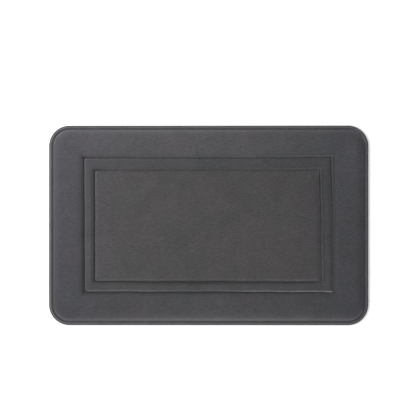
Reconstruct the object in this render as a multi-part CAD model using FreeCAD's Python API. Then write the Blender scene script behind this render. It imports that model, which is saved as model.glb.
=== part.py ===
import FreeCAD, Part
import math
import os

# A memory-foam bath mat lying flat: a plush cover over foam, sewn down along two rectangular
# channels, with a dotted non-slip backing and a bound edge. Millimetres throughout.
# Origin: middle of the footprint, on the floor. +X along the mat, +Y across it, +Z up.

# Plan: a 20 x 32 inch mat with rounded corners.
MAT_LENGTH = 812.8
MAT_WIDTH = 508.0
CORNER_RADIUS = 52.0

# Layers from the floor up.
DOT_HEIGHT = 1.2
KNIT_THICKNESS = 0.8
FOAM_THICKNESS = 12.7
COVER_THICKNESS = 1.5
FOAM_LIP = 1.2

KNIT_BOTTOM = DOT_HEIGHT
FOAM_BOTTOM = KNIT_BOTTOM + KNIT_THICKNESS
FOAM_TOP = FOAM_BOTTOM + FOAM_THICKNESS
COVER_TOP = FOAM_TOP + COVER_THICKNESS
LIP_TOP = FOAM_BOTTOM + FOAM_LIP
RIM_TOP = LIP_TOP + COVER_THICKNESS

# Bound edge: a tape folded round the thin rim of the layers.
BINDING_WIDTH = 11.0
BINDING_THICKNESS = 0.8
BINDING_BULGE = 2.2
RIM_INSET = 1.2

# The cover rises from the binding to its full height over this width.
SHOULDER_WIDTH = 20.0

# Sewn channels: half length and half width of each seam line, and where its centre lies.
CHANNEL_DEPTH = 10.3
CHANNEL_FLAT = 0.75
BORDER_SHOULDER = 18.0
BAND_SHOULDER = 12.0
PANEL_SHOULDER = 24.0
OUTER_SEAM = {"half_length": 315.2, "half_width": 170.6, "centre": (-0.8, 1.3)}
INNER_SEAM = {"half_length": 287.2, "half_width": 142.0, "centre": (-2.1, -0.5)}

# Threads are flattened into the cloth that they hold.
THREAD_WIDTH = 0.8
NEEDLE_THREAD_HEIGHT = 0.4
BOBBIN_THREAD_HEIGHT = 0.25
THREAD_GAP = 0.05
BINDING_SEAM_INSET = 9.4

# Non-slip dots in staggered rows, with none where a seam, the binding or the label lies.
DOT_PITCH = 16.0
DOT_BASE_RADIUS = 2.5
DOT_TIP_RADIUS = 1.8
DOT_EDGE_MARGIN = 15.0
DOT_SEAM_MARGIN = 4.5
DOT_LABEL_MARGIN = 6.0

# Care label: a ribbon folded double, sewn in at the inner edge of the binding's underside.
LABEL_WIDTH = 30.0
LABEL_LENGTH = 45.0
LABEL_PLY = 0.12
LABEL_THICKNESS = 0.3
LABEL_X = 250.0
LABEL_GAP = 0.8
LABEL_TOP = KNIT_BOTTOM - 0.15

HALF_LENGTH = MAT_LENGTH / 2
HALF_WIDTH = MAT_WIDTH / 2
Z_AXIS = FreeCAD.Vector(0, 0, 1)


def point(x, z):
    """A point of a section: x runs outward, z upward."""
    return FreeCAD.Vector(x, 0, z)


def line(start, end):
    return Part.makeLine(start, end)


def shoulder(foot, crest):
    """The quarter ellipse that leaves its foot upright and reaches its crest level."""
    centre = point(crest.x, foot.z)
    wide = abs(foot.x - crest.x) >= abs(crest.z - foot.z)
    ends = (foot, crest) if wide else (crest, foot)
    ellipse = Part.Ellipse(ends[0], ends[1], centre)
    return Part.ArcOfEllipse(ellipse, 0, math.pi / 2).toShape()


def section_face(edges):
    """The flat face inside a closed loop of edges in the XZ plane."""
    return Part.Face(Part.Wire(Part.__sortEdges__(edges)))


def polygon_face(corners):
    edges = [line(a, b) for a, b in zip(corners, corners[1:] + corners[:1])]
    return section_face(edges)


def box_section(x_low, x_high, z_low, z_high):
    return polygon_face([point(x_low, z_low), point(x_high, z_low),
                         point(x_high, z_high), point(x_low, z_high)])


def placed(section, angle, position):
    """A copy of a section whose outward direction is turned by an angle about Z, then moved."""
    copy = section.copy()
    copy.rotate(FreeCAD.Vector(0, 0, 0), Z_AXIS, angle)
    copy.translate(position)
    return copy


def joined(solids):
    """One solid from solids that share faces, with the faces between them gone."""
    whole = solids[0].fuse(solids[1:]).removeSplitter()
    return whole.Solids[0]


def rounded_ring(section):
    """Carries a section round the mat's rounded outline. Its x is 0 on the outline."""
    reach_x = HALF_LENGTH - CORNER_RADIUS
    reach_y = HALF_WIDTH - CORNER_RADIUS
    solids = []
    for quarter in range(4):
        angle = 90 * quarter
        along_x = quarter % 2 == 1
        side_half = reach_x if along_x else reach_y
        outline = HALF_WIDTH if along_x else HALF_LENGTH
        turn = FreeCAD.Rotation(Z_AXIS, angle)
        start = turn.multVec(FreeCAD.Vector(outline, -side_half, 0))
        run = turn.multVec(FreeCAD.Vector(0, 2 * side_half, 0))
        solids.append(placed(section, angle, start).extrude(run))
        corner = start + run
        centre = turn.multVec(FreeCAD.Vector(outline - CORNER_RADIUS, side_half, 0))
        solids.append(placed(section, angle, corner).revolve(centre, Z_AXIS, 90))
    return solids


def filled_body(section, z_low, z_high):
    """A rounded slab: a section carried round the outline, with the middle filled in."""
    middle = Part.makeBox(MAT_LENGTH - 2 * CORNER_RADIUS, MAT_WIDTH - 2 * CORNER_RADIUS,
                          z_high - z_low,
                          FreeCAD.Vector(CORNER_RADIUS - HALF_LENGTH, CORNER_RADIUS - HALF_WIDTH, z_low))
    return joined(rounded_ring(section) + [middle])


def mitred_ring(section, seam):
    """Carries a section round a seam line, with mitred corners. Its x is 0 on the line."""
    box = section.BoundBox
    low, high = box.XMin, box.XMax
    floor = box.ZMin - 1
    height = box.ZLength + 2
    solids = []
    for quarter in range(4):
        angle = 90 * quarter
        along_x = quarter % 2 == 1
        reach = seam["half_width"] if along_x else seam["half_length"]
        side = seam["half_length"] if along_x else seam["half_width"]
        run = FreeCAD.Vector(0, 2 * (side + high), 0)
        bar = placed(section, 0, FreeCAD.Vector(reach, -side - high, 0)).extrude(run)
        mitre = Part.Face(Part.makePolygon([
            FreeCAD.Vector(reach + low, -side - low, floor),
            FreeCAD.Vector(reach + high, -side - high, floor),
            FreeCAD.Vector(reach + high, side + high, floor),
            FreeCAD.Vector(reach + low, side + low, floor),
            FreeCAD.Vector(reach + low, -side - low, floor)]))
        trimmed = bar.common(mitre.extrude(FreeCAD.Vector(0, 0, height)))
        trimmed.rotate(FreeCAD.Vector(0, 0, 0), Z_AXIS, angle)
        trimmed.translate(FreeCAD.Vector(seam["centre"][0], seam["centre"][1], 0))
        solids.extend(trimmed.Solids)
    return joined(solids)


def edge_section(lip_top, top, shoulder_start):
    """Half section of a layer: a thin rim, a rounded shoulder and a level top."""
    inner = -CORNER_RADIUS
    rim = -RIM_INSET
    foot = point(-shoulder_start, lip_top)
    crest = point(-BINDING_WIDTH - SHOULDER_WIDTH, top)
    return section_face([
        line(point(inner, FOAM_BOTTOM), point(rim, FOAM_BOTTOM)),
        line(point(rim, FOAM_BOTTOM), point(rim, lip_top)),
        line(point(rim, lip_top), foot),
        shoulder(foot, crest),
        line(crest, point(inner, top)),
        line(point(inner, top), point(inner, FOAM_BOTTOM))])


def channel_section(outer_shoulder, inner_shoulder, bottom, top, flat, inset):
    """Section of the space over a channel: a flat bottom between two rounded shoulders."""
    clear = top + 2
    outer_foot = point(flat, bottom)
    inner_foot = point(-flat, bottom)
    outer_crest = point(flat + outer_shoulder - inset, top)
    inner_crest = point(-flat - inner_shoulder + inset, top)
    return section_face([
        line(inner_foot, outer_foot),
        shoulder(outer_foot, outer_crest),
        line(outer_crest, point(outer_crest.x, clear)),
        line(point(outer_crest.x, clear), point(inner_crest.x, clear)),
        line(point(inner_crest.x, clear), inner_crest),
        shoulder(inner_foot, inner_crest)])


def layer_with_channels(lip_top, top, shoulder_start, inset):
    """The space under one surface of the mat: that of the cover, or of the foam inside it."""
    section = edge_section(lip_top, top, shoulder_start)
    body = filled_body(section, FOAM_BOTTOM, top)
    bottom = top - CHANNEL_DEPTH
    flat = CHANNEL_FLAT + inset
    outer = channel_section(BORDER_SHOULDER, BAND_SHOULDER, bottom, top, flat, inset)
    inner = channel_section(BAND_SHOULDER, PANEL_SHOULDER, bottom, top, flat, inset)
    cut = body.cut([mitred_ring(outer, OUTER_SEAM), mitred_ring(inner, INNER_SEAM)])
    return cut.removeSplitter().Solids[0]


def foam_core():
    return layer_with_channels(LIP_TOP, FOAM_TOP, BINDING_WIDTH + COVER_THICKNESS, COVER_THICKNESS)


def top_cover(foam):
    outside = layer_with_channels(RIM_TOP, COVER_TOP, BINDING_WIDTH, 0)
    return outside.cut(foam).Solids[0]


def edge_binding():
    """A tape folded round the rim: a U with a rounded outer end, open towards the mat."""
    z_low = KNIT_BOTTOM - BINDING_THICKNESS
    z_high = RIM_TOP + BINDING_THICKNESS
    z_middle = (z_low + z_high) / 2
    inner = -BINDING_WIDTH
    bulge = -BINDING_BULGE
    return joined(rounded_ring(section_face([
        line(point(inner, z_low), point(bulge, z_low)),
        shoulder(point(0, z_middle), point(bulge, z_low)),
        shoulder(point(0, z_middle), point(bulge, z_high)),
        line(point(bulge, z_high), point(inner, z_high)),
        line(point(inner, z_high), point(inner, RIM_TOP)),
        line(point(inner, RIM_TOP), point(-RIM_INSET, RIM_TOP)),
        line(point(-RIM_INSET, RIM_TOP), point(-RIM_INSET, KNIT_BOTTOM)),
        line(point(-RIM_INSET, KNIT_BOTTOM), point(inner, KNIT_BOTTOM)),
        line(point(inner, KNIT_BOTTOM), point(inner, z_low))])))


def rim_thread(z_low, height):
    """One thread of the seam that holds the binding."""
    half = THREAD_WIDTH / 2
    section = box_section(-BINDING_SEAM_INSET - half, -BINDING_SEAM_INSET + half, z_low, z_low + height)
    return joined(rounded_ring(section))


def channel_thread(seam, z_low, height):
    """One thread of the seam that holds a channel down."""
    half = THREAD_WIDTH / 2
    return mitred_ring(box_section(-half, half, z_low, z_low + height), seam)


def distance_to_seam(x, y, seam):
    """Distance in plan from a point to a rectangular seam line."""
    across = abs(x - seam["centre"][0]) - seam["half_length"]
    along = abs(y - seam["centre"][1]) - seam["half_width"]
    if across > 0 and along > 0:
        return math.hypot(across, along)
    if across <= 0 and along <= 0:
        return min(-across, -along)
    return max(across, along)


def inside_outline(x, y, margin):
    """True where a point is at least the margin inside the mat's rounded outline."""
    past_x = max(abs(x) - (HALF_LENGTH - CORNER_RADIUS), 0)
    past_y = max(abs(y) - (HALF_WIDTH - CORNER_RADIUS), 0)
    return math.hypot(past_x, past_y) <= CORNER_RADIUS - margin


def under_label(x, y):
    """True where a dot would touch the care label."""
    root_y = label_root_y()
    beside = abs(x - LABEL_X) < LABEL_WIDTH / 2 + DOT_LABEL_MARGIN
    return beside and y < root_y + LABEL_LENGTH + DOT_LABEL_MARGIN


def dot_centres():
    """Centres of the dots, in staggered rows with one dot at the origin."""
    row_pitch = DOT_PITCH * math.sqrt(3) / 2
    rows = int(HALF_WIDTH / row_pitch)
    columns = int(HALF_LENGTH / DOT_PITCH) + 1
    centres = []
    for row in range(-rows, rows + 1):
        stagger = DOT_PITCH / 2 if row % 2 else 0
        for column in range(-columns, columns + 1):
            x = column * DOT_PITCH + stagger
            y = row * row_pitch
            clear_of_seams = min(distance_to_seam(x, y, OUTER_SEAM),
                                 distance_to_seam(x, y, INNER_SEAM)) > DOT_SEAM_MARGIN
            if inside_outline(x, y, DOT_EDGE_MARGIN) and clear_of_seams and not under_label(x, y):
                centres.append((x, y))
    return centres


def dotted_backing():
    """A knit sheet with soft dots fused to its underside, as one piece."""
    sheet = filled_body(box_section(-CORNER_RADIUS, -RIM_INSET, KNIT_BOTTOM, FOAM_BOTTOM),
                        KNIT_BOTTOM, FOAM_BOTTOM)
    down = FreeCAD.Vector(0, 0, -1)
    dots = [Part.makeCone(DOT_BASE_RADIUS, DOT_TIP_RADIUS, DOT_HEIGHT,
                          FreeCAD.Vector(x, y, KNIT_BOTTOM), down) for x, y in dot_centres()]
    return sheet.fuse(dots).Solids[0]


def label_root_y():
    """Where the label's sewn end lies: just inside the binding on the -Y side."""
    return -HALF_WIDTH + BINDING_WIDTH + LABEL_GAP


def care_label():
    """A ribbon folded double: two plies that meet in a round fold at the free end."""
    z_middle = LABEL_TOP - LABEL_THICKNESS / 2
    outer = LABEL_THICKNESS / 2
    inner = outer - LABEL_PLY
    start = label_root_y()
    fold = start + LABEL_LENGTH - outer

    def at(y, z):
        return FreeCAD.Vector(LABEL_X - LABEL_WIDTH / 2, y, z_middle + z)

    edges = [
        line(at(start, -outer), at(fold, -outer)),
        Part.Arc(at(fold, -outer), at(fold + outer, 0), at(fold, outer)).toShape(),
        line(at(fold, outer), at(start, outer)),
        line(at(start, outer), at(start, inner)),
        line(at(start, inner), at(fold, inner)),
        Part.Arc(at(fold, inner), at(fold + inner, 0), at(fold, -inner)).toShape(),
        line(at(fold, -inner), at(start, -inner)),
        line(at(start, -inner), at(start, -outer))]
    return section_face(edges).extrude(FreeCAD.Vector(LABEL_WIDTH, 0, 0))


def all_pieces():
    foam = foam_core()
    channel_bottom = COVER_TOP - CHANNEL_DEPTH
    needle = NEEDLE_THREAD_HEIGHT
    bobbin = BOBBIN_THREAD_HEIGHT
    under_knit = KNIT_BOTTOM - THREAD_GAP - bobbin
    under_binding = KNIT_BOTTOM - BINDING_THICKNESS - THREAD_GAP - bobbin
    return {
        "top_cover": top_cover(foam),
        "foam_core": foam,
        "dotted_backing": dotted_backing(),
        "edge_binding": edge_binding(),
        "binding_needle_thread": rim_thread(RIM_TOP + BINDING_THICKNESS + THREAD_GAP, needle),
        "binding_bobbin_thread": rim_thread(under_binding, bobbin),
        "outer_channel_needle_thread": channel_thread(OUTER_SEAM, channel_bottom + THREAD_GAP, needle),
        "outer_channel_bobbin_thread": channel_thread(OUTER_SEAM, under_knit, bobbin),
        "inner_channel_needle_thread": channel_thread(INNER_SEAM, channel_bottom + THREAD_GAP, needle),
        "inner_channel_bobbin_thread": channel_thread(INNER_SEAM, under_knit, bobbin),
        "care_label": care_label(),
    }


os.makedirs("parts", exist_ok=True)
for name, shape in all_pieces().items():
    box = shape.BoundBox
    print(f"{name}: volume {shape.Volume:.1f}, valid {shape.isValid()}, solids {len(shape.Solids)}, "
          f"z {box.ZMin:.2f} to {box.ZMax:.2f}, {box.XLength:.1f} x {box.YLength:.1f}")
    shape.exportStep(f"parts/{name}.step")
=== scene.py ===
import math

import bmesh
import bpy
import numpy as np
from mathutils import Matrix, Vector, noise
from mathutils.bvhtree import BVHTree
from mathutils.kdtree import KDTree


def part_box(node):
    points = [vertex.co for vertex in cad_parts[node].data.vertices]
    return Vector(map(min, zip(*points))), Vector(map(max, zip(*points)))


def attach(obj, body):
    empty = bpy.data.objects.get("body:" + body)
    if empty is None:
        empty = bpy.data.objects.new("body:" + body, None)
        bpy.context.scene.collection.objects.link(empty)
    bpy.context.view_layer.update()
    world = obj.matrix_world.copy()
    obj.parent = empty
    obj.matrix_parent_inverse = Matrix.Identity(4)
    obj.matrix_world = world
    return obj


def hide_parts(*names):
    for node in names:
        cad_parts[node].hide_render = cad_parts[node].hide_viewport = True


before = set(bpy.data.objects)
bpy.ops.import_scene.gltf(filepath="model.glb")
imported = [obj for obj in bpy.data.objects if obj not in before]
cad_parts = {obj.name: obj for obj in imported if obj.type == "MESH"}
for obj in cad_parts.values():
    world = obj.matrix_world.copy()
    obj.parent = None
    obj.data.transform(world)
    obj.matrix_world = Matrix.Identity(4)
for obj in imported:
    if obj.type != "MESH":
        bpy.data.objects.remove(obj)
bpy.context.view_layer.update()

MM = 0.001

# The mat's outline and levels come from the frame. Lengths are in metres.
BINDING_LOW, BINDING_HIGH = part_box("edge_binding")
HALF_LENGTH = BINDING_HIGH.x
HALF_WIDTH = BINDING_HIGH.y
CORNER = 52 * MM
THREAD_WIDTH = 0.8 * MM
TAPE = 0.8 * MM
COVER_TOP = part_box("top_cover")[1].z
CHANNEL_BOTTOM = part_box("outer_channel_needle_thread")[0].z
RIM_TOP = BINDING_HIGH.z - TAPE
KNIT_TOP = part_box("foam_core")[0].z
KNIT_BOTTOM = BINDING_LOW.z + TAPE
COVER_THICKNESS = 1.4 * MM

# The widths over which the cover rises from the binding, and to each side of the two channels.
BINDING_WIDTH = 10.6 * MM
EDGE_FOOT = BINDING_WIDTH + 0.6 * MM
EDGE_SHOULDER = 22 * MM
BORDER_SHOULDER = 19 * MM
BAND_SHOULDER = 14 * MM
PANEL_SHOULDER = 26 * MM
SOFT_SHOULDER = 11 * MM
LIP_WIDTH = 6 * MM
LIP_CORNER = 6 * MM

# How far the cover dips beside the binding, and the share of a channel's depth by which the band
# between the channels is lower, and by which the right side of each channel is shallower.
FOOT_DIP = 1.1 * MM
BAND_DROP = 0.1
RIGHT_SLACK = 0.3

# The sewing: stitches, puckers, and where and how far the binding's ends lap.
BINDING_STITCH = 4 * MM
BINDING_SEAM_INSET = 9.2 * MM
CHANNEL_STITCH = 5 * MM
PUCKER = 0.42 * MM
LAP_Y = -115 * MM
LAP_LENGTH = 17 * MM
LAP_HEIGHT = 0.55 * MM


# ---- plan shapes

def seam_on(node):
    """A channel's seam line, from the ring of thread that lies on it."""
    low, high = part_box(node)
    half = (high - low) / 2
    centre = (high + low) / 2
    return {"centre": (centre.x, centre.y),
            "half": (half.x - THREAD_WIDTH / 2, half.y - THREAD_WIDTH / 2)}


OUTER_SEAM = seam_on("outer_channel_needle_thread")
INNER_SEAM = seam_on("inner_channel_needle_thread")
SEAMS = (OUTER_SEAM, INNER_SEAM)
EVEN = (0.0, 0.0, 0.0)

# Soft: how softly the right side's front half is sewn. Back slack: how much shallower the back is,
# as a share of the depth. Front lip: how far in mm the painted lip highlight lies inside the front
# side.
# The rest are for the left, right, front and back, each at its low end, middle and high end.
# Drift: how far in mm the side wanders from straight. Painted lip highlight: how much lighter the
# pile is painted on the lip inside. Painted outside shade: how much darker the pile is painted just
# outside. Painted ridge highlight: how strong the painted light ridge outside is, with a painted
# darker dip beyond it.
OUTER_SEAM.update(
    soft=0.9, back_slack=0.4, front_lip=(3.6, 3.6, 2.4),
    drift=((1.0, 0.0, -1.0), (4.8, 2.4, -4.8), (0.1, -0.2, -1.0), (-1.0, -1.8, 0.6)),
    brushed=((0.35, 0.6, 0.85), (0.0, 0.1, 0.5), (1.8, 0.7, 4.6), (0.3, 0.0, 0.0)),
    leaning=((0.3, 0.28, 0.1), (0.1, 0.25, 0.28), (0.18, 0.15, 0.0), (0.06, 0.08, -0.1)),
    ridge=(EVEN, (0.0, 0.0, 0.45), EVEN, (0.0, 0.05, 0.45)))
INNER_SEAM.update(
    soft=0.55, back_slack=0.6, front_lip=(3.6, 7.0, 5.0),
    drift=((0.3, 0.0, -0.2), (2.2, 0.1, -3.4), (0.2, 0.1, -2.0), (-2.0, -1.7, -1.2)),
    brushed=((0.25, 0.2, 0.8), (0.5, 0.2, 0.6), (0.65, 0.12, 0.85), (-0.35, -0.1, 0.0)),
    leaning=((0.1, 0.08, 0.05), (0.12, 0.2, 0.15), (0.05, 0.32, -0.1), (0.0, 0.0, -0.1)),
    ridge=(EVEN, (0.5, 0.25, 0.4), EVEN, (0.05, 0.05, 0.35)))


def ring(half, radius, centre, columns):
    """Points anticlockwise round a rounded rectangle, and each one's place along it from 0 to 8."""
    side_x, side_y, arc = columns
    points = []
    places = []
    for quarter in range(4):
        outward = np.array([(0, -1), (1, 0), (0, 1), (-1, 0)][quarter], float)
        along = np.array([-outward[1], outward[0]])
        across = quarter % 2 == 1
        distance = half[0] if across else half[1]
        reach = (half[1] if across else half[0]) - radius
        count = side_y if across else side_x
        for step in range(count + 1):
            points.append(outward * distance + along * reach * (2 * step / count - 1))
            places.append(2 * quarter + step / count)
        for step in range(1, arc):
            turn = math.pi / 2 * step / arc
            corner = outward * (distance - radius) + along * reach
            points.append(corner + radius * (outward * math.cos(turn) + along * math.sin(turn)))
            places.append(2 * quarter + 1 + step / arc)
    return np.array(points) + np.array(centre), np.array(places)


def outline_ring(inset, columns):
    """A ring at a distance inside the mat's outline."""
    return ring((HALF_LENGTH - inset, HALF_WIDTH - inset), CORNER - inset, (0, 0), columns)


def seam_ring(seam, outward, columns):
    """A ring beside a seam line: rounded at the corners outside it, and mitred inside it."""
    half = (seam["half"][0] + outward, seam["half"][1] + outward)
    return ring(half, max(outward, 0), seam["centre"], columns)


def blended(start, end, share):
    return tuple(a + (b - a) * share for a, b in zip(start, end))


def inset_of(x, y):
    """Distance inside the mat's outline."""
    past_x = np.abs(x) - (HALF_LENGTH - CORNER)
    past_y = np.abs(y) - (HALF_WIDTH - CORNER)
    outside = np.hypot(np.maximum(past_x, 0), np.maximum(past_y, 0))
    return np.where(outside > 0, CORNER - outside, CORNER - np.maximum(past_x, past_y))


def seam_offsets(x, y, seam):
    """How far a point is past the seam line's sides, along X and along Y."""
    return (np.abs(x - seam["centre"][0]) - seam["half"][0],
            np.abs(y - seam["centre"][1]) - seam["half"][1])


def past_seam(x, y, seam):
    """Distance outside a seam line, negative inside it."""
    return np.maximum(*seam_offsets(x, y, seam))


def stripe(distance, middle, width):
    """A soft stripe, 1 at its middle."""
    return np.exp(-((distance - middle) / width) ** 2)


# ---- the cover's shape

def rise(distance, width):
    """Height on a rounded shoulder, from 0 at its foot to 1 at its crest."""
    share = np.clip(distance / width, 0, 1)
    return np.sqrt(1 - (1 - share) ** 2)


def place_in_seam(x, y, seam):
    """Position from -1 to 1 between a seam rectangle's opposite sides."""
    return ((x - seam["centre"][0]) / seam["half"][0], (y - seam["centre"][1]) / seam["half"][1])


def slack_floor(x, y, seam):
    """How far up the channel's bottom lies where it is sewn less tightly: on the right and back."""
    across, along = place_in_seam(x, y, seam)
    right = np.clip((across - 0.8) / 0.2, 0, 1)
    back = np.clip((along - 0.8) / 0.2, 0, 1) * np.clip((across + 1) * 8, 0, 1)
    slack = np.maximum(RIGHT_SLACK * right, seam["back_slack"] * back)
    return slack + 0.2 * softness(x, y, seam)


def softness(x, y, seam):
    """How far the sewing on the right, towards the front, only dents the foam softly."""
    across, along = place_in_seam(x, y, seam)
    return seam["soft"] * np.clip((across - 0.85) / 0.15, 0, 1) * np.clip(0.75 - along, 0, 1)


def gentle(distance, width):
    """A smooth valley side, level at its foot and at its top."""
    return np.sin(math.pi / 2 * np.clip(distance / width, 0, 1)) ** 2


def lip_rise(distance, width, firm):
    """Height just inside a seam: a firm rounded lip first, then a gentle swell."""
    return firm * rise(distance, LIP_WIDTH) + (1 - firm) * rise(distance, width)


def distance_inside(u, v):
    """Distance inside a seam line, measured from a line with rounded corners."""
    corner = np.hypot(np.maximum(u + LIP_CORNER, 0), np.maximum(v + LIP_CORNER, 0))
    return np.where((u > -LIP_CORNER) & (v > -LIP_CORNER), LIP_CORNER - corner, -np.maximum(u, v))


def seam_rise(x, y, seam, outside, inside):
    """0 on a seam line, 1 where the cover is clear of its pull. The gathers make it ragged."""
    u, v = seam_offsets(x, y, seam)
    across, along = place_in_seam(x, y, seam)
    firm = np.clip(0.58 - 0.26 * across - 0.12 * along, 0.2, 0.85)
    near = np.minimum(np.abs(np.maximum(u, v)) / (8 * MM), 1)
    ragged = 0.55 * noise_at(x, y, 5.5, 2.9) + 0.3 * noise_at(x, y, 30, 8.6)
    gathers = (1 - near) * ragged * MM
    outward = np.hypot(np.maximum(u, 0), np.maximum(v, 0))
    beyond = rise(outward - 0.6 * np.maximum(gathers, 0), outside)
    within = lip_rise(distance_inside(u, v) - np.maximum(-gathers, 0), inside, firm)
    is_outside = (u > 0) | (v > 0)
    sharp = np.where(is_outside, beyond, within)
    dent = gentle(np.where(is_outside, outward, -np.maximum(u, v)), SOFT_SHOULDER)
    soft = softness(x, y, seam)
    return sharp * (1 - soft) + soft * dent


def corner_pinch(x, y):
    """The short crease that runs outward from each corner of the outer channel."""
    u, v = seam_offsets(x, y, OUTER_SEAM)
    along = (u + v) / math.sqrt(2)
    across = (u - v) / math.sqrt(2)
    length = 20 * MM
    width = 1.8 * MM
    fade = np.clip(1 - along / length, 0, 1) ** 1.5 * (along > 0)
    depth = np.where((x < 0) & (y > 0), 3.4 * MM, 2.0 * MM)
    return depth * fade * stripe(across, 0, width)


def designed_height(x, y):
    """Height of the cover's upper face, before its small unevenness."""
    outer = seam_rise(x, y, OUTER_SEAM, BORDER_SHOULDER, BAND_SHOULDER)
    inner = seam_rise(x, y, INNER_SEAM, BAND_SHOULDER, PANEL_SHOULDER)
    outer_floor = slack_floor(x, y, OUTER_SEAM)
    inner_floor = slack_floor(x, y, INNER_SEAM)
    channels = (outer_floor + (1 - outer_floor) * outer) * (inner_floor + (1 - inner_floor) * inner)
    channels = channels - in_band(x, y) * BAND_DROP * outer * inner
    level = CHANNEL_BOTTOM + (COVER_TOP - CHANNEL_BOTTOM) * channels - corner_pinch(x, y)
    edge = rise(inset_of(x, y) - EDGE_FOOT, EDGE_SHOULDER)
    foot = RIM_TOP - FOOT_DIP * np.clip((inset_of(x, y) - 4 * MM) / (6 * MM), 0, 1)
    return foot + (level - foot) * edge


def in_band(x, y):
    """Whether a point lies between the two channels."""
    return (past_seam(x, y, OUTER_SEAM) < 0) & (past_seam(x, y, INNER_SEAM) > 0)


def noise_at(x, y, size, seed):
    """Smooth noise from about -1 to 1, with features of about the given size in mm."""
    scale = size * MM
    return np.array([noise.noise(Vector((a / scale, b / scale, seed))) for a, b in zip(x, y)])


def seam_puckers(x, y, seam, seed):
    """The cloth gathered a little between the stitches of a channel."""
    u, v = seam_offsets(x, y, seam)
    along = np.where(np.abs(u) < np.abs(v), y - seam["centre"][1], x - seam["centre"][0])
    near = np.minimum(np.abs(u), np.abs(v)) / (2.2 * MM)
    reach = near * np.exp(1 - near)
    on_seam = np.maximum(u, v) < 6 * MM
    uneven = 0.55 + 0.45 * noise_at(x, y, 45, seed)
    wave = np.cos(2 * math.pi * along / CHANNEL_STITCH)
    return PUCKER * wave * reach * uneven * on_seam


def unevenness(x, y):
    """Gentle waves and lumps of the plush, and the puckers along its seams."""
    inset = inset_of(x, y)
    clear = np.clip((inset - BINDING_WIDTH) / (12 * MM), 0, 1)
    waves = 0.35 * MM * noise_at(x, y, 70, 3.1) + 0.16 * MM * noise_at(x, y, 22, 7.7)
    lumps = 0.07 * MM * noise_at(x, y, 6, 1.3)
    puckers = seam_puckers(x, y, OUTER_SEAM, 11.3) + seam_puckers(x, y, INNER_SEAM, 17.9)
    return clear * (waves + lumps + puckers)


def hat(value, low, peak, high):
    """1 at the peak, falling evenly to 0 at each end."""
    return np.clip(np.minimum((value - low) / (peak - low), (high - value) / (high - peak)), 0, 1)


def drift_across(main, other, axis, half):
    """How far the sewing moves the cloth along one axis. main is measured along that axis."""
    outer_low, inner_low = (seam["centre"][axis] - seam["half"][axis] for seam in SEAMS)
    outer_high, inner_high = (seam["centre"][axis] + seam["half"][axis] for seam in SEAMS)
    calm = 60 * MM
    edge = half - 30 * MM
    place = np.clip(other / OUTER_SEAM["half"][1 - axis], -1, 1)
    wobble = 0.3 * np.sin(other / (19 * MM)) + 0.25 * np.sin(other / (43 * MM) + 1)
    spans = [(OUTER_SEAM, 0, -edge, outer_low, inner_low),
             (INNER_SEAM, 0, outer_low, inner_low, inner_low + calm),
             (INNER_SEAM, 1, inner_high - calm, inner_high, outer_high),
             (OUTER_SEAM, 1, inner_high, outer_high, edge)]
    moved = 0
    for seam, end, low, peak, high in spans:
        drift = np.interp(place, (-1, 0, 1), seam["drift"][2 * axis + end])
        moved = moved + hat(main, low, peak, high) * (drift + wobble)
    return moved * MM


def sewn(x, y):
    """Where the cloth lies, with its seams wandering a little from straight."""
    return x + drift_across(x, y, 0, HALF_LENGTH), y + drift_across(y, x, 1, HALF_WIDTH)


# ---- mesh helpers

def faces_between(outer, outer_places, inner, inner_places):
    """Faces from one closed ring of vertices to the next one inside it."""
    m, n = len(outer), len(inner)
    if m == n and np.allclose(outer_places, inner_places):
        return [(outer[i], outer[(i + 1) % m], inner[(i + 1) % n], inner[i]) for i in range(m)]
    a = list(outer_places) + [8.0]
    b = list(inner_places) + [8.0]
    faces = []
    i = j = 0
    while i < m or j < n:
        if j == n or (i < m and a[i + 1] <= b[j + 1]):
            faces.append((outer[i % m], outer[(i + 1) % m], inner[j % n]))
            i += 1
        else:
            faces.append((outer[i % m], inner[(j + 1) % n], inner[j % n]))
            j += 1
    return faces


def sheet_plan(rings, grid):
    """Points and upward faces of a flat sheet: rings from the outside in, then a grid."""
    points = []
    faces = []
    loops = []
    for ring_points, places in rings:
        start = len(points)
        points.extend(ring_points)
        loops.append((list(range(start, len(points))), places))
    for outer, inner in zip(loops, loops[1:]):
        faces.extend(faces_between(*outer, *inner))
    half, centre, (count_x, count_y) = grid
    start = len(points)
    for row in range(count_y + 1):
        for column in range(count_x + 1):
            points.append((centre[0] + half[0] * (2 * column / count_x - 1),
                           centre[1] + half[1] * (2 * row / count_y - 1)))
    for row in range(count_y):
        for column in range(count_x):
            first = start + row * (count_x + 1) + column
            faces.append((first, first + 1, first + count_x + 2, first + count_x + 1))
    return np.array(points), faces, len(loops[0][0])


def new_object(name, points, faces):
    """A mesh object with doubled points merged and collapsed faces gone."""
    mesh = bpy.data.meshes.new(name)
    mesh.from_pydata([tuple(p) for p in points], [], faces)
    bm = bmesh.new()
    bm.from_mesh(mesh)
    bmesh.ops.remove_doubles(bm, verts=bm.verts, dist=0.5e-5)
    bmesh.ops.recalc_face_normals(bm, faces=bm.faces)
    bm.to_mesh(mesh)
    bm.free()
    mesh.validate()
    mesh.shade_smooth()
    made = bpy.data.objects.new(name, mesh)
    bpy.context.scene.collection.objects.link(made)
    return made


def shell_faces(upper, lower, start, loop):
    """Faces of a closed shell: the upper sheet, the lower one turned over, and the rim between."""
    turned = [tuple(start + i for i in reversed(face)) for face in lower]
    rim = [(start + i, start + (i + 1) % loop, (i + 1) % loop, i) for i in range(loop)]
    return list(upper) + turned + rim


def tube_faces(rows, count, first=0, closed=False):
    """Faces of a tube whose rows of vertices each close round on themselves."""
    faces = []
    for row in range(rows if closed else rows - 1):
        this = first + row * count
        below = first + (row + 1) % rows * count
        for side in range(count):
            after = (side + 1) % count
            faces.append((this + side, below + side, below + after, this + after))
    return faces


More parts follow.
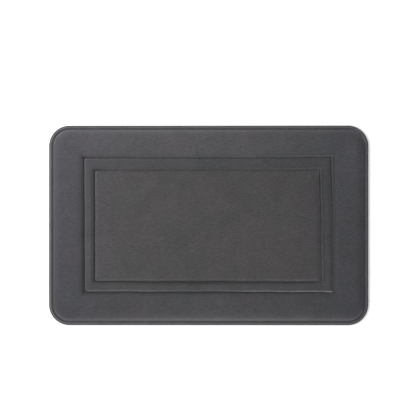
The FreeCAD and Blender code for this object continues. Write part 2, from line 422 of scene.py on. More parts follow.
def circle(sides):
    """Points round a circle of radius 1."""
    turns = [2 * math.pi * side / sides for side in range(sides)]
    return [(math.cos(turn), math.sin(turn)) for turn in turns]


def vertex_array(obj):
    values = np.zeros(len(obj.data.vertices) * 3)
    obj.data.vertices.foreach_get("co", values)
    return values.reshape(-1, 3)


# ---- the cover and the foam

def shoulder_rows(width, count):
    """Distances up a shoulder, closer together where it is steep."""
    return [width * (1 - math.cos(math.pi / 2 * step / count)) for step in range(count + 1)]


# Points along each long side, short side and corner of a ring, and rows up each shoulder.
RIM_COLUMNS = (142, 81, 32)
FLAT_COLUMNS = (115, 62, 8)
SEAM_COLUMNS = (374, 202, 8)
UNDER_COLUMNS = (92, 50, 10)
BINDING_COLUMNS = (546, 310, 62)
UPPER_ROWS = 14
UNDER_ROWS = 8
CLOTH_ROWS = 7


def cover_plan(rim, flat, seam, rows, first=RIM_COLUMNS):
    """The cover's plan mesh. Each argument but rows is the columns of one zone's rings."""
    flange = [(2 * MM, first), (6 * MM, rim)]
    edge = [(EDGE_FOOT + d, rim) for d in shoulder_rows(EDGE_SHOULDER, rows)]
    rings = [outline_ring(inset, columns) for inset, columns in flange + edge]
    start_inset = EDGE_FOOT + EDGE_SHOULDER
    start_half = (HALF_LENGTH - start_inset, HALF_WIDTH - start_inset)
    end_half = tuple(h + BORDER_SHOULDER for h in OUTER_SEAM["half"])
    steps = rows // 2
    for step in range(1, steps):
        share = step / steps
        radius = (CORNER - start_inset) * (1 - share) + BORDER_SHOULDER * share
        centre = blended((0, 0), OUTER_SEAM["centre"], share)
        rings.append(ring(blended(start_half, end_half, share), radius, centre, flat))
    fine_within = 10 * MM
    for distance in reversed(shoulder_rows(BORDER_SHOULDER, rows)):
        rings.append(seam_ring(OUTER_SEAM, distance, seam if distance < fine_within else flat))
    band_rows = rows + 4
    for step in range(1, band_rows + 1):
        share = (1 - math.cos(math.pi * step / band_rows)) / 2
        half = blended(OUTER_SEAM["half"], INNER_SEAM["half"], share)
        rings.append(ring(half, 0, blended(OUTER_SEAM["centre"], INNER_SEAM["centre"], share), seam))
    for distance in shoulder_rows(PANEL_SHOULDER, rows)[1:]:
        rings.append(seam_ring(INNER_SEAM, -distance, seam if distance < fine_within else flat))
    inner_half = tuple(h - PANEL_SHOULDER for h in INNER_SEAM["half"])
    return sheet_plan(rings, (inner_half, INNER_SEAM["centre"], flat[:2]))


def with_column(values, last):
    """The rows, each with one more value."""
    return np.column_stack([values, np.full(len(values), last)])


def pin_weights(x, y):
    """How firmly the sewing holds the cloth: fully on the seams and under the binding."""
    nearest = np.minimum(*(np.abs(past_seam(x, y, seam)) for seam in SEAMS))
    sewn_down = (nearest < 0.2 * MM) | (inset_of(x, y) < EDGE_FOOT + 0.1 * MM)
    return np.where(sewn_down, 1.0, HELD_BY_FOAM)


def evened(move, cloth, rounds):
    """The movement averaged with its neighbours', without ripples as small as one face."""
    ends = np.zeros(len(cloth.data.edges) * 2, int)
    cloth.data.edges.foreach_get("vertices", ends)
    first, second = ends.reshape(-1, 2).T
    count = np.bincount(ends, minlength=len(move))[:, None]
    for _ in range(rounds):
        total = np.zeros_like(move)
        np.add.at(total, first, move[second])
        np.add.at(total, second, move[first])
        move = (move + total / count) / 2
    return move


# A light cloth, slightly too large for its plan, pushed up from inside by the foam.
CLOTH_SETTINGS = {
    "quality": 6, "mass": 0.3, "bending_stiffness": 4, "shear_stiffness": 8,
    "tension_stiffness": 20, "compression_stiffness": 20, "vertex_group_mass": "sewn",
    "pin_stiffness": 2, "shrink_min": -0.002, "use_pressure": True, "uniform_pressure_force": 1.5,
}
HELD_BY_FOAM = 0.2
SETTLING_FRAMES = 20
LONGEST_MOVE = 3 * MM


def puffed_cloth():
    """Lets the cover settle as cloth over springy foam. Gives each point's movement."""
    columns = UNDER_COLUMNS
    plan, faces, _ = cover_plan(columns, columns, columns, CLOTH_ROWS, first=columns)
    cloth = new_object("cloth_study", with_column(plan, 0), faces)
    flat = vertex_array(cloth)
    start = flat.copy()
    start[:, 2] = designed_height(flat[:, 0], flat[:, 1])
    start[:, 2] += 0.25 * MM * noise_at(flat[:, 0], flat[:, 1], 30, 5.5)
    cloth.data.vertices.foreach_set("co", start.ravel())
    cloth.data.update()
    pins = cloth.vertex_groups.new(name="sewn")
    for index, weight in enumerate(pin_weights(flat[:, 0], flat[:, 1])):
        pins.add([index], float(weight), "REPLACE")
    settings = cloth.modifiers.new("Settle", "CLOTH").settings
    for name, value in CLOTH_SETTINGS.items():
        setattr(settings, name, value)
    settings.effector_weights.gravity = 0
    scene = bpy.context.scene
    for number in range(1, SETTLING_FRAMES + 1):
        scene.frame_set(number)
    settled = cloth.evaluated_get(bpy.context.evaluated_depsgraph_get()).to_mesh()
    moved = np.zeros(len(settled.vertices) * 3)
    settled.vertices.foreach_get("co", moved)
    move = evened(moved.reshape(-1, 3) - start, cloth, 4)
    scene.frame_set(1)
    length = np.maximum(np.linalg.norm(move, axis=1), 1e-9)
    move *= np.minimum(1, LONGEST_MOVE / length)[:, None]
    triangles = []
    for polygon in cloth.data.polygons:
        corners = list(polygon.vertices)
        triangles.extend((corners[0], corners[i], corners[i + 1]) for i in range(1, len(corners) - 1))
    bpy.data.objects.remove(cloth)
    return flat, move, triangles


def cross(a, b):
    return a[0] * b[1] - a[1] * b[0]


def movement_lookup():
    """A function that gives the settled cloth's movement at points of the plan."""
    flat, move, triangles = puffed_cloth()
    tree = BVHTree.FromPolygons([tuple(p) for p in flat], triangles)

    def look_up(x, y):
        found = np.zeros((len(x), 3))
        for index, (a, b) in enumerate(zip(x, y)):
            _, _, face, _ = tree.find_nearest((a, b, 0))
            p, q, r = (flat[k] for k in triangles[face])
            point, q, r = (a, b, 0) - p, q - p, r - p
            v = cross(point, r) / cross(q, r)
            w = cross(q, point) / cross(q, r)
            weights = np.clip((1 - v - w, v, w), 0, 1)
            found[index] = weights @ move[list(triangles[face])] / weights.sum()
        return found

    return look_up


def surface_points(plan, movement, drop, fine):
    """Points of one face of the cover, with the cloth's movement and the lumps."""
    x, y = plan[:, 0], plan[:, 1]
    heights = designed_height(x, y) - drop
    if fine:
        heights = heights + unevenness(x, y)
    sewn_x, sewn_y = sewn(x, y)
    return np.column_stack([sewn_x, sewn_y, heights]) + movement(x, y)


def make_cover(movement):
    """The plush cover: a fine upper face and a plainer under face, closed round the rim."""
    top_plan, top_faces, loop = cover_plan(RIM_COLUMNS, FLAT_COLUMNS, SEAM_COLUMNS, UPPER_ROWS)
    low_plan, low_faces, _ = cover_plan(UNDER_COLUMNS, UNDER_COLUMNS, UNDER_COLUMNS, UNDER_ROWS)
    top = surface_points(top_plan, movement, 0, True)
    low = surface_points(low_plan, movement, COVER_THICKNESS, False)
    faces = shell_faces(top_faces, low_faces, len(top), loop)
    cover = new_object("plush_cover", np.vstack([top, low]), faces)
    paint_pile_light(cover, top_plan, top)
    return cover


def make_foam(movement):
    """The foam slab inside the cover, just under the cover's lower face."""
    plan, faces, loop = cover_plan(UNDER_COLUMNS, UNDER_COLUMNS, UNDER_COLUMNS, UNDER_ROWS)
    top = surface_points(plan, movement, COVER_THICKNESS + 0.1 * MM, False)
    low = with_column(plan, KNIT_TOP)
    return new_object("foam_slab", np.vstack([top, low]), shell_faces(faces, faces, len(top), loop))


# Where the painted lip highlight is inside each seam, in mm, and how wide the painted lip and ridge
# highlights are.
PAINTED_LIP_INSET = 3.6
PAINTED_STRIPE_WIDTH = 1.3 * MM


def along_sides(amounts, x, y, seam):
    """Amounts given for a seam's four sides, read off at each point."""
    u, v = seam_offsets(x, y, seam)
    across, along = place_in_seam(x, y, seam)
    left, right, front, back = amounts
    at_side = [np.interp(along, (-1, 0, 1), amount) for amount in (left, right)]
    at_end = [np.interp(across, (-1, 0, 1), amount) for amount in (front, back)]
    return np.where(u / seam["half"][0] > v / seam["half"][1],
                    np.where(across < 0, *at_side), np.where(along < 0, *at_end))


def painted_light_beside_seam(x, y, seam):
    """Painted highlights and shade on the pile beside a seam."""
    distance = past_seam(x, y, seam)
    across, along = place_in_seam(x, y, seam)
    uneven = 0.8 + 0.4 * noise_at(x, y, 14, 6.1)
    painted_glints = 0.8 * np.maximum(noise_at(x, y, 4.5, 9.4), 0) * (across > 0.95)
    front_lip = np.interp(across, (-1, 0, 1), seam["front_lip"])
    lip_at = np.where(along < -0.9, front_lip, PAINTED_LIP_INSET) * MM
    lip = stripe(distance, -lip_at, PAINTED_STRIPE_WIDTH)
    # Painted highlight along the lip inside the seam, with painted glints on the right side.
    brushed = (along_sides(seam["brushed"], x, y, seam) + painted_glints) * lip
    # Painted shade just outside the seam.
    leaning = along_sides(seam["leaning"], x, y, seam) * stripe(distance, 5 * MM, 3 * MM)
    ridge_at = np.where(np.abs(across) > np.abs(along), 2.8 * MM, 4.2 * MM)
    dip = stripe(distance, ridge_at + 3.8 * MM, 2 * MM)
    # Painted highlight ridge outside the seam, with a painted darker dip beyond it.
    ridge = stripe(distance, ridge_at, PAINTED_STRIPE_WIDTH) - 0.6 * dip
    return uneven * (brushed + along_sides(seam["ridge"], x, y, seam) * ridge) - leaning


def painted_rim_light(x, y):
    """Painted highlights on the pile beside the binding."""
    inset = inset_of(x, y)
    right, back, corner = rim_direction(x, y)
    # Painted highlights: broad on the shoulder and stronger at the front and back, a narrow line on the
    # lip that is stronger at the corners, and a broad lighter front border.
    ends = 0.12 * np.maximum(back, 0) + 0.25 * np.maximum(-back, 0)
    shoulder = stripe(inset, 14 * MM, 4 * MM) * (0.05 + ends)
    lip = stripe(inset, 12.5 * MM, 1.4 * MM) * (0.36 + corner * (0.35 + 0.3 * (right > 0)))
    middle = 1 - (x / HALF_LENGTH) ** 2
    front = np.maximum(-back, 0) * stripe(inset, 12 * MM, 18 * MM) * (0.08 + 0.13 * middle)
    return (1 + shoulder + lip) * (1 + front)


def pile_painted_light_and_tint(x, y):
    """Painted light and shade on the pile, with a slight colour cast on the border and the band."""
    past_outer = past_seam(x, y, OUTER_SEAM)
    past_inner = past_seam(x, y, INNER_SEAM)
    blend = 8 * MM
    border = np.clip(past_outer / blend + 0.5, 0, 1)
    panel = np.clip(-past_inner / blend + 0.5, 0, 1)
    band = (1 - border) * (1 - panel)
    sideways = x / HALF_LENGTH
    backward = np.clip(y / HALF_WIDTH, -1, 1)
    # Painted light: the border is lighter towards the back and darker towards the front and both ends,
    # and the band between the channels is darker.
    back = 0.16 * border * np.maximum(backward, 0)
    front = 0.08 * border * np.maximum(-backward, 0)
    shade = (1 + back - front - 0.09 * band) * (1 - 0.08 * np.abs(sideways) * border)
    # Painted highlights and shade beside both seams.
    shade = shade * (1 + painted_light_beside_seam(x, y, OUTER_SEAM) + painted_light_beside_seam(x, y, INNER_SEAM))
    # Painted highlight: a soft light ridge along the left band. Then the painted highlights beside the
    # binding.
    left_band_highlight = (x < 0) * (np.abs(y) < INNER_SEAM["half"][1]) * stripe(past_outer, -11 * MM, 4 * MM)
    shade = shade * (1 + 0.16 * left_band_highlight) * painted_rim_light(x, y)
    ends = np.clip((np.abs(sideways) - 0.55) / 0.3, 0, 1)
    green = 0.955 + 0.03 * border + 0.03 * band
    blue = 0.98 + 0.07 * border + 0.05 * band + 0.05 * ends
    blue = blue + 0.03 * band * np.clip(sideways, 0, 1)
    return np.column_stack([shade, shade * green, shade * blue])


def rim_direction(x, y):
    """How far the rim nearest a point faces right and back, and how near it is to a corner."""
    reach = np.maximum(CORNER - inset_of(x, y), MM)
    right = np.sign(x) * np.clip((np.abs(x) - (HALF_LENGTH - CORNER)) / reach, 0, 1)
    back = np.sign(y) * np.clip((np.abs(y) - (HALF_WIDTH - CORNER)) / reach, 0, 1)
    return right, back, np.clip(2.6 * np.abs(right * back), 0, 1)


def store_colors(piece, colors):
    # The nap attribute holds painted light and shade, with the cover's colour cast.
    layer = piece.data.color_attributes.new(name="nap", type="FLOAT_COLOR", domain="POINT")
    layer.data.foreach_set("color", with_column(colors, 1).ravel())


def paint_pile_light(cover, plan, top):
    """Stores the painted light and shade, with the colour cast, on the cover's vertices, which were
    reordered by merging.
    """
    nearest = KDTree(len(top))
    for index, point in enumerate(top):
        nearest.insert(point, index)
    nearest.balance()
    colors = pile_painted_light_and_tint(plan[:, 0], plan[:, 1])
    store_colors(cover, colors[[nearest.find(point)[1] for point in vertex_array(cover)]])


# ---- the binding

def smooth_loop(points):
    """A closed curve through given points, with one more point between each two."""
    points = np.array(points, float)
    before, after, beyond = (np.roll(points, shift, axis=0) for shift in (1, -1, -2))
    midway = (9 * (points + after) - before - beyond) / 16
    return np.stack([points, midway], axis=1).reshape(-1, 2)


def binding_section():
    """The folded tape cut across, in millimetres: distance inside the outline, then height."""
    return smooth_loop([(10.4, 3.7), (10.6, 4.1), (9.2, 4.2), (7.6, 4.75), (6.5, 6.1), (5.2, 7.2),
                        (3.4, 7.1), (1.6, 6.3), (0.4, 5.1), (0.0, 3.2), (0.6, 1.5), (2.2, 0.6),
                        (5.0, 0.42), (10.6, 0.4), (10.6, 1.15), (5.0, 1.15), (2.2, 1.4), (1.2, 3.0),
                        (2.2, 5.0), (5.0, 4.85), (8.0, 4.15)])


def make_binding():
    """The tape folded round the rim, gathered at each stitch, its ends lapped on one side."""
    outline, places = outline_ring(0, BINDING_COLUMNS)
    section = binding_section() * MM
    count = len(outline)
    ahead = np.roll(outline, -1, axis=0) - np.roll(outline, 1, axis=0)
    inward = np.column_stack([-ahead[:, 1], ahead[:, 0]])
    inward /= np.linalg.norm(inward, axis=1)[:, None]
    run = np.concatenate([[0], np.cumsum(np.linalg.norm(np.diff(outline, axis=0), axis=1))])
    rim_length = run[-1] + np.linalg.norm(outline[0] - outline[-1])
    stitches = round(rim_length / BINDING_STITCH)
    phase = 2 * math.pi * stitches * run / run[-1]
    x, y = outline.T
    slack = noise_at(x, y, 55, 21.7)
    crumple = noise_at(x, y, 9, 4.2)
    lap = (x > HALF_LENGTH - MM) * (1 + np.tanh((LAP_Y - y) / MM)) / 2
    lap *= np.clip((y - LAP_Y + LAP_LENGTH) / (2 * MM), 0, 1)
    turning = np.clip((places % 2 - 1) * 8, 0, 1) * np.clip((2 - places % 2) * 8, 0, 1)
    grid = []
    for inset, height in section:
        upper = np.clip((height - 3 * MM) / (2 * MM), 0, 1)
        crown = stripe(inset, 4.4 * MM, 2.2 * MM)
        gather = 0.16 * MM * (1 + np.cos(phase)) * stripe(inset, BINDING_SEAM_INSET, 1.1 * MM)
        swell = (0.28 * slack + 0.12 * crumple - 0.1 * np.cos(phase)) * MM * crown
        fold = 0.7 * MM * turning * np.cos(2 * math.pi * (inset - 5 * MM) / (3.4 * MM)) * crown
        z = height + upper * (swell - gather + fold + LAP_HEIGHT * lap)
        width = 1 + 0.05 * slack * upper
        grid.extend(np.column_stack([outline + inward * (inset * width)[:, None], z]))
    tape = new_object("edge_binding_tape", grid, tube_faces(len(section), count, closed=True))
    paint_tape_light(tape)
    return tape


def paint_tape_light(tape):
    """Stores painted light and shade on the tape: a painted highlight on its crown, painted shade down
    its outer flank, and a valley beside the cover painted darker on the left and at the front corners,
    and lighter on the right and at the back right corner.
    """
    points = vertex_array(tape)
    inset = inset_of(points[:, 0], points[:, 1])
    right, back, corner = rim_direction(points[:, 0], points[:, 1])
    # Painted highlight on the crown, stronger on the left, then painted shade and light in the valley,
    # and painted shade down the outer flank.
    crown = 0.3 + 0.5 * np.maximum(-right, 0) - 0.25 * np.maximum(right, 0) + 0.2 * corner
    valley = 0.15 * np.maximum(right, 0) - 0.3 * np.maximum(-right, 0)
    valley = valley + corner * np.where(back < 0, -0.25, 0.5 * (right > 0))
    painted_flank_shade = 0.32 + 0.14 * np.maximum(-back, 0) + 0.14 * np.maximum(-right, 0)
    flank = painted_flank_shade * np.clip((3.8 * MM - inset) / (1.4 * MM), 0, 1)
    crown = crown * stripe(inset, 4.8 * MM, 1.5 * MM)
    valley = valley * stripe(inset, 8.8 * MM, 2 * MM)
    shade = 1 - flank + crown + valley
    store_colors(tape, np.column_stack([shade, shade, shade]))


# ---- stitches

def stitch_shape():
    """One stitch from 0 to 1 along X: a soft strand that dips into the cloth at both ends."""
    rows = [(0.04, 0.35, -1.0), (0.1, 0.8, -0.35), (0.25, 1.0, 0.05), (0.5, 1.0, 0.2),
            (0.75, 1.0, 0.05), (0.9, 0.8, -0.35), (0.96, 0.35, -1.0)]
    sides = 7
    points = [(along, size * c, lift + 0.7 * size * s)
              for along, size, lift in rows for c, s in circle(sides)]
    faces = tube_faces(len(rows), sides)
    faces.append(tuple(range(sides)))
    faces.append(tuple(reversed(range((len(rows) - 1) * sides, len(rows) * sides))))
    return np.array(points), faces


def make_stitches(name, holes, height, radius, upward):
    """A row of stitches from each hole to the next. The height is one number, or one for each."""
    heights = np.zeros(len(holes)) + height
    next_heights = np.roll(heights, -1)
    shape, shape_faces = stitch_shape()
    points = []
    faces = []
    for index, (start, end) in enumerate(zip(holes, np.roll(holes, -1, axis=0))):
        length = np.linalg.norm(end - start)
        if length < MM:
            continue
        along = (end - start) / length
        across = np.array([-along[1], along[0]])
        skew = 0.12 * radius * math.sin(index * 2.4)
        first = len(points)
        for a, b, c in shape:
            place = start + along * a * length + across * (b * radius + skew * (2 * a - 1))
            level = heights[index] * (1 - a) + next_heights[index] * a
            points.append((place[0], place[1], level + upward * c * radius))
        order = shape_faces if upward > 0 else [tuple(reversed(face)) for face in shape_faces]
        faces.extend(tuple(first + i for i in face) for face in order)
    return new_object(name, points, faces)


def rim_holes():
    """Needle holes of the binding seam."""
    counts = [round(2 * (half - CORNER) / BINDING_STITCH) for half in (HALF_LENGTH, HALF_WIDTH)]
    arc = round(math.pi / 2 * (CORNER - BINDING_SEAM_INSET) / BINDING_STITCH)
    return outline_ring(BINDING_SEAM_INSET, (*counts, arc))[0]


def channel_holes(seam):
    """Needle holes of a channel, where the sewing has put them."""
    counts = [round(2 * half / CHANNEL_STITCH) for half in seam["half"]]
    points, _ = seam_ring(seam, 0, (*counts, 1))
    return np.column_stack(sewn(points[:, 0], points[:, 1]))


def make_all_stitches():
    """The six threads, each as its row of single stitches, by the CAD node it replaces."""
    strand = 0.36 * MM
    thin = 0.22 * MM
    rim = rim_holes()
    on_binding = RIM_TOP + TAPE - FOOT_DIP - 0.05 * MM
    under_tape = KNIT_BOTTOM - TAPE - 0.02 * MM
    under_knit = KNIT_BOTTOM - 0.2 * MM
    made = {"binding_needle_thread": make_stitches("binding_top_stitches", rim, on_binding, strand, 1),
            "binding_bobbin_thread": make_stitches("binding_under_stitches", rim, under_tape, thin, -1)}
    for name, seam in zip(("outer_channel", "inner_channel"), SEAMS):
        holes = channel_holes(seam)
        lift = (COVER_TOP - CHANNEL_BOTTOM) * slack_floor(holes[:, 0], holes[:, 1], seam)
        in_channel = CHANNEL_BOTTOM + 0.2 * MM + lift
        made[name + "_needle_thread"] = make_stitches(name + "_stitches", holes, in_channel, strand, 1)
        made[name + "_bobbin_thread"] = make_stitches(name + "_under_stitches", holes,
                                                      under_knit, strand, -1)
    return made


# ---- the underside

DOT_PITCH = 16 * MM
DOT_RADIUS = 2.5 * MM
CLEAR_OF_RIM = 15 * MM
CLEAR_OF_SEAM = 4.5 * MM
CLEAR_OF_LABEL = 6 * MM


def dot_centres():
    """Where the grip dots are: staggered rows that keep off the seams, the rim and the label."""
    label_low, label_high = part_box("care_label")
    row_pitch = DOT_PITCH * math.sqrt(3) / 2
    rows = int(HALF_WIDTH / row_pitch)
    columns = int(HALF_LENGTH / DOT_PITCH) + 1
    left = label_low.x - CLEAR_OF_LABEL
    right = label_high.x + CLEAR_OF_LABEL
    centres = []
    for row in range(-rows, rows + 1):
        for column in range(-columns, columns + 1):
            x = (column + (0.5 if row % 2 else 0)) * DOT_PITCH
            y = row * row_pitch
            to_seam = min(abs(past_seam(x, y, seam)) for seam in SEAMS)
            by_label = left < x < right and y < label_high.y + CLEAR_OF_LABEL
            if inset_of(x, y) > CLEAR_OF_RIM and to_seam > CLEAR_OF_SEAM and not by_label:
                centres.append((x, y))
    return centres


def dot_shape():
    """A soft grip dot pointing down: a rounded button with a slightly flattened tip."""
    rows = [(1.0, 0.12), (0.98, -0.25), (0.87, -0.73), (0.6, -1.08), (0.28, -1.19)]
    sides = 11
    points = [(0.0, 0.0, -KNIT_BOTTOM)]
    points.extend((size * DOT_RADIUS * c, size * DOT_RADIUS * s, height * MM)
                  for size, height in rows for c, s in circle(sides))
    faces = tube_faces(len(rows), sides, first=1)
    last = 1 + (len(rows) - 1) * sides
    faces.extend((last + side, 0, last + (side + 1) % sides) for side in range(sides))
    faces.append(tuple(1 + side for side in range(sides)))
    return points, faces


def make_backing():
    """The coated knit sheet with its grip dots, as one piece with two materials."""
    columns = (60, 34, 16)
    innermost = CORNER - 0.1 * MM
    rings = [outline_ring(inset, columns) for inset in (2 * MM, 12 * MM, 30 * MM, innermost)]
    half = (HALF_LENGTH - innermost, HALF_WIDTH - innermost)
    plan, sheet, loop = sheet_plan(rings, (half, (0, 0), columns[:2]))
    points = [*with_column(plan, KNIT_TOP), *with_column(plan, KNIT_BOTTOM)]
    faces = shell_faces(sheet, sheet, len(plan), loop)
    shape, shape_faces = dot_shape()
    for x, y in dot_centres():
        first = len(points)
        points.extend((x + a, y + b, KNIT_BOTTOM + c) for a, b, c in shape)
        faces.extend(tuple(first + i for i in face) for face in shape_faces)
    return new_object("dotted_knit_backing", points, faces)


def mark_dots(backing):
    """Gives the dots' faces the second material of the backing."""
    polygons = backing.data.polygons
    centres = np.zeros(len(polygons) * 3)
    polygons.foreach_get("center", centres)
    is_dot = centres[2::3] < KNIT_BOTTOM - 0.01 * MM
    polygons.foreach_set("material_index", is_dot.astype(int))
    backing.data.update()


def make_label():
    """The care label: a blank ribbon folded double, lying a little unevenly."""
    low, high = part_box("care_label")
    along = np.linspace(0, 1, 31)
    across = np.linspace(0, 1, 17)
    middle = (low.z + high.z) / 2
    half_thickness = 0.13 * MM
    section = [(a, 1.0) for a in along] + [(a, -1.0) for a in along[::-1]]
    section += [(a, -0.35) for a in along[:-1]] + [(a, 0.35) for a in along[:-1][::-1]]
    count = len(section)
    points = []
    for share in across:
        for a, side in section:
            wave = 0.1 * MM * a * math.sin(7 * a + 3 * share)
            points.append((low.x + (high.x - low.x) * share, low.y + (high.y - low.y) * a,
                           middle + side * half_thickness + wave))
    faces = tube_faces(len(across), count)
    last = len(points) - count
    steps = len(along) - 1
    caps = [(steps, steps + 1, 3 * steps + 1, 3 * steps + 2),
            (steps - 1, steps, 3 * steps + 2),
            (3 * steps + 1, steps + 1, steps + 2)]
    for index in range(steps - 1):
        outer = 2 * steps + 1 - index
        inner = 2 * steps + 2 + index
        caps.append((index, index + 1, count - 2 - index, count - 1 - index))
        caps.append((inner, inner + 1, outer - 1, outer))
    for cap in caps:
        faces.append(cap)
        faces.append(tuple(last + i for i in reversed(cap)))
    return new_object("care_label_ribbon", points, faces)


# ---- materials

def set_inputs(node, values):
    for name, value in values.items():
        node.inputs[name].default_value = value


def new_material(name, color, roughness, sheen=0.0, sheen_roughness=0.5, specular=0.3):
    """A material with its constant values set on the shader."""
    material = bpy.data.materials.new(name)
    material.use_nodes = True
    set_inputs(shader_of(material), {
        "Base Color": (*color, 1), "Roughness": roughness, "Sheen Weight": sheen,
        "Sheen Roughness": sheen_roughness, "Specular IOR Level": specular})
    return material


def shader_of(material):
    return material.node_tree.nodes["Principled BSDF"]


def add_node(material, kind, inputs, **settings):
    """A new node with its settings and the constant values of its inputs."""
    node = material.node_tree.nodes.new(kind)
    for name, value in settings.items():
        setattr(node, name, value)
    set_inputs(node, inputs)
    return node


def link(material, source, target):
    material.node_tree.links.new(source, target)


def texture(material, kind, size, inputs, stretch=(1, 1, 1), **settings):
    """The outputs of a texture on the object, with features of about the given size in mm."""
    coordinates = add_node(material, "ShaderNodeTexCoord", {})
    mapping = add_node(material, "ShaderNodeMapping", {"Scale": stretch})
    made = add_node(material, kind, {"Scale": 1 / (size * MM), **inputs}, **settings)
    link(material, coordinates.outputs["Object"], mapping.inputs["Vector"])
    link(material, mapping.outputs["Vector"], made.inputs["Vector"])
    return made.outputs


def patches(material, size, detail=3.0, roughness=0.55, distortion=0.0, stretch=(1, 1, 1)):
    """Soft irregular patches."""
    inputs = {"Detail": detail, "Roughness": roughness, "Distortion": distortion}
    return texture(material, "ShaderNodeTexNoise", size, inputs, stretch)["Fac"]


def bands(material, direction, size, distortion):
    """Parallel soft bands, for ribs, weaves and twists."""
    return texture(material, "ShaderNodeTexWave", size, {"Distortion": distortion},
                   wave_type="BANDS", bands_direction=direction)


def stored_shade(material):
    """The painted light and shade stored on the piece's vertices, with the cover's colour cast."""
    return add_node(material, "ShaderNodeAttribute", {}, attribute_name="nap").outputs["Color"]


def grey(value):
    return (value, value, value)


def shades(material, value, dark, light, start=0.3, end=0.7):
    """Colours from dark to light, while the value goes from start to end."""
    ramp = add_node(material, "ShaderNodeValToRGB", {})
    for element, position, color in zip(ramp.color_ramp.elements, (start, end), (dark, light)):
        element.position = position
        element.color = (*color, 1)
    link(material, value, ramp.inputs["Fac"])
    return ramp.outputs["Color"]


def multiplied(material, first, *others):
    """Colours multiplied together."""
    for other in others:
        mix = add_node(material, "ShaderNodeMix", {}, data_type="RGBA", blend_type="MULTIPLY")
        mix.inputs["Factor"].default_value = 1.0
        link(material, first, mix.inputs["A"])
        link(material, other, mix.inputs["B"])
        first = mix.outputs["Result"]
    return first


def add_bump(material, *layers):
    """Stacks bumps on the shader. Each layer is (height socket, strength, distance in mm)."""
    previous = None
    for height, strength, distance in layers:
        bump = add_node(material, "ShaderNodeBump", {"Strength": strength, "Distance": distance * MM})
        link(material, height, bump.inputs["Height"])
        if previous:
            link(material, previous, bump.inputs["Normal"])
        previous = bump.outputs["Normal"]
    link(material, previous, shader_of(material).inputs["Normal"])


def set_color(material, socket):
    link(material, socket, shader_of(material).inputs["Base Color"])


def plush_material():
    """Short dense microfibre pile: nap that leans in patches, fine clumps and a soft sheen."""
    material = new_material("charcoal_plush", grey(0.05), 0.95, 0.1, 0.45, 0.15)
    streaks = patches(material, 2.6, 3, 0.6, stretch=(0.3, 1, 1))
    fibres = patches(material, 1.1, 4, 0.7)
    clumps = patches(material, 3.2, 3, 0.6)
    worn = patches(material, 60, 3, 0.5, 0.6)
    tint = patches(material, 75, 2, 0.5)
    base = shades(material, worn, (0.0444, 0.0444, 0.0449), (0.0515, 0.0515, 0.052))
    nap = shades(material, streaks, grey(0.8), grey(1.16))
    tips = shades(material, fibres, grey(0.75), grey(1.22), 0.3, 0.72)
    cast = shades(material, tint, (0.975, 1.01, 0.99), (1.025, 0.99, 1.005), 0.38, 0.62)
    # The stored shade multiplied in here is painted light and shade beside the seams and the binding,
    # and across the border and the band.
    set_color(material, multiplied(material, base, nap, tips, cast, stored_shade(material)))
    add_bump(material, (streaks, 0.2, 0.5), (clumps, 0.3, 0.5), (fibres, 0.5, 0.25))
    return material


def tape_material():
    """Brushed binding tape: a fine slanted weave under a light fuzz."""
    material = new_material("charcoal_binding_tape", (0.05, 0.05, 0.053), 0.9, 0.3, 0.4, 0.2)
    fuzz = patches(material, 0.7, 3, 0.65)
    weave = bands(material, "DIAGONAL", 7.5, 0.6)["Fac"]
    base = shades(material, patches(material, 14), (0.056, 0.055, 0.059), (0.07, 0.069, 0.073))
    tips = shades(material, fuzz, grey(0.78), grey(1.18))
    # The stored shade multiplied in here is painted light and shade on the tape's crown, valley and
    # flank.
    set_color(material, multiplied(material, base, tips, stored_shade(material)))
    add_bump(material, (weave, 0.3, 0.25), (fuzz, 0.4, 0.2))
    return material


def thread_material():
    """Spun polyester thread with a fine twist."""
    material = new_material("charcoal_thread", (0.05, 0.05, 0.053), 0.7, 0.2, 0.4, 0.35)
    twist = bands(material, "DIAGONAL", 1.6, 0.4)["Fac"]
    set_color(material, shades(material, twist, (0.034, 0.034, 0.036), (0.07, 0.069, 0.074), 0.2, 0.8))
    add_bump(material, (twist, 0.5, 0.08))
    return material


def foam_material():
    """Cream memory foam with open cells."""
    material = new_material("memory_foam", (0.78, 0.72, 0.55), 0.9, 0.0, 0.5, 0.2)
    cells = texture(material, "ShaderNodeTexVoronoi", 1.2, {}, feature="F1")["Distance"]
    set_color(material, shades(material, cells, (0.62, 0.55, 0.4), (0.8, 0.74, 0.57), 0.1, 0.5))
    add_bump(material, (cells, 0.6, 0.4))
    return material


def knit_material():
    """Coated knit backing: fine ribs with small loops across them."""
    material = new_material("coated_knit", (0.06, 0.06, 0.062), 0.8, 0.15, 0.5, 0.3)
    ribs = bands(material, "X", 9, 0.5)["Color"]
    loops = bands(material, "Y", 6, 1.2)["Color"]
    knit = multiplied(material, ribs, loops)
    set_color(material, shades(material, knit, (0.035, 0.035, 0.037), (0.085, 0.084, 0.088), 0.1, 0.7))
    add_bump(material, (knit, 0.5, 0.3))
    return material


def vinyl_material():
    """Soft grey vinyl of the grip dots."""
    material = new_material("soft_vinyl_dots", (0.05, 0.05, 0.052), 0.45, 0.0, 0.5, 0.5)
    grain = patches(material, 0.6, 2, 0.5)
    set_color(material, shades(material, grain, (0.04, 0.04, 0.042), (0.065, 0.065, 0.068)))
    add_bump(material, (grain, 0.25, 0.1))
    return material


def ribbon_material():
    """Blank white satin ribbon with a fine weave."""
    material = new_material("white_satin_ribbon", (0.8, 0.8, 0.77), 0.4, 0.3, 0.3, 0.5)
    weave = bands(material, "X", 3, 0.2)["Fac"]
    yellowing = patches(material, 12, 2, 0.5)
    set_color(material, shades(material, yellowing, (0.76, 0.75, 0.71), (0.84, 0.84, 0.82)))
    add_bump(material, (weave, 0.2, 0.05))
    return material


def floor_material():
    """Plain pale floor."""
    return new_material("pale_floor", grey(0.93), 0.9, specular=0.0)


# ---- studio

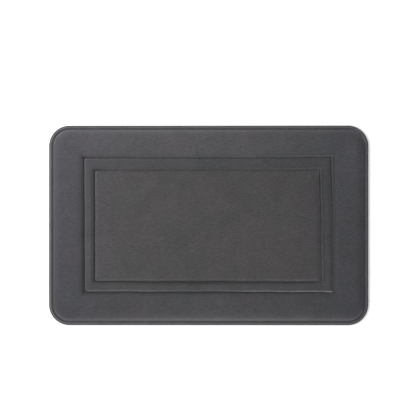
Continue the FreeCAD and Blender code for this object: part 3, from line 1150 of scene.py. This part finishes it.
def make_camera():
    """Looks straight down from well above, with the mat a little below the picture's middle."""
    camera = bpy.data.objects.new("camera", bpy.data.cameras.new("camera"))
    bpy.context.scene.collection.objects.link(camera)
    distance = 3.0
    seen_width = 1.0603
    camera.data.sensor_width = 36
    camera.data.lens = 36 * distance / seen_width
    camera.location = (-1.7 * MM, 44.3 * MM, distance)
    camera.data.clip_end = 100
    bpy.context.scene.camera = camera


# Name, place, size and power of each light. The strongest is on the left, and the others are low.
SOFTBOXES = [
    ("left_softbox", (-1.0, 0.1, 1.3), 0.8, 15),
    ("low_left_softbox", (-1.1, 0.1, 0.25), 0.5, 3.6),
    ("back_softbox", (-0.3, 0.75, 0.3), 0.5, 3.2),
    ("front_softbox", (0.0, -1.0, 0.2), 0.5, 5.6),
]


def make_softbox(name, location, size, power):
    """A soft light aimed at the mat's middle."""
    light = bpy.data.objects.new(name, bpy.data.lights.new(name, "AREA"))
    light.data.size = size
    light.data.energy = power
    light.location = location
    light.visible_camera = False
    light.rotation_mode = "QUATERNION"
    light.rotation_quaternion = (-Vector(location)).to_track_quat("-Z", "Y")
    bpy.context.scene.collection.objects.link(light)


def make_studio():
    """A white room with soft lights low on the left, behind and in front."""
    world = bpy.data.worlds.new("studio")
    bpy.context.scene.world = world
    world.use_nodes = True
    set_inputs(world.node_tree.nodes["Background"], {"Color": (1, 1, 1, 1), "Strength": 0.85})
    for softbox in SOFTBOXES:
        make_softbox(*softbox)
    bpy.context.scene.view_settings.view_transform = "Standard"
    size = 30
    points = [(x * size, y * size, 0) for x, y in ((-1, -1), (1, -1), (1, 1), (-1, 1))]
    floor = new_object("floor", points, [(0, 1, 2, 3)])
    floor.data.materials.append(floor_material())


# ---- putting it together

def finished(piece, node, body, slot, *materials):
    """The piece, given its materials, body and replaced CAD node. The slot is not used."""
    for material in materials:
        piece.data.materials.append(material)
    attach(piece, body)
    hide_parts(node)
    return piece


make_camera()
make_studio()

movement = movement_lookup()
cover = finished(make_cover(movement), "top_cover", "mat", "plush_cover", plush_material())
foam = finished(make_foam(movement), "foam_core", "mat", "memory_foam", foam_material())
binding = finished(make_binding(), "edge_binding", "mat", "binding_tape", tape_material())
backing = finished(make_backing(), "dotted_backing", "mat", "grip_backing",
                   knit_material(), vinyl_material())
mark_dots(backing)
label = finished(make_label(), "care_label", "label", "label_ribbon", ribbon_material())
thread = thread_material()
for node, stitches in make_all_stitches().items():
    finished(stitches, node, "mat", "sewing_thread", thread)
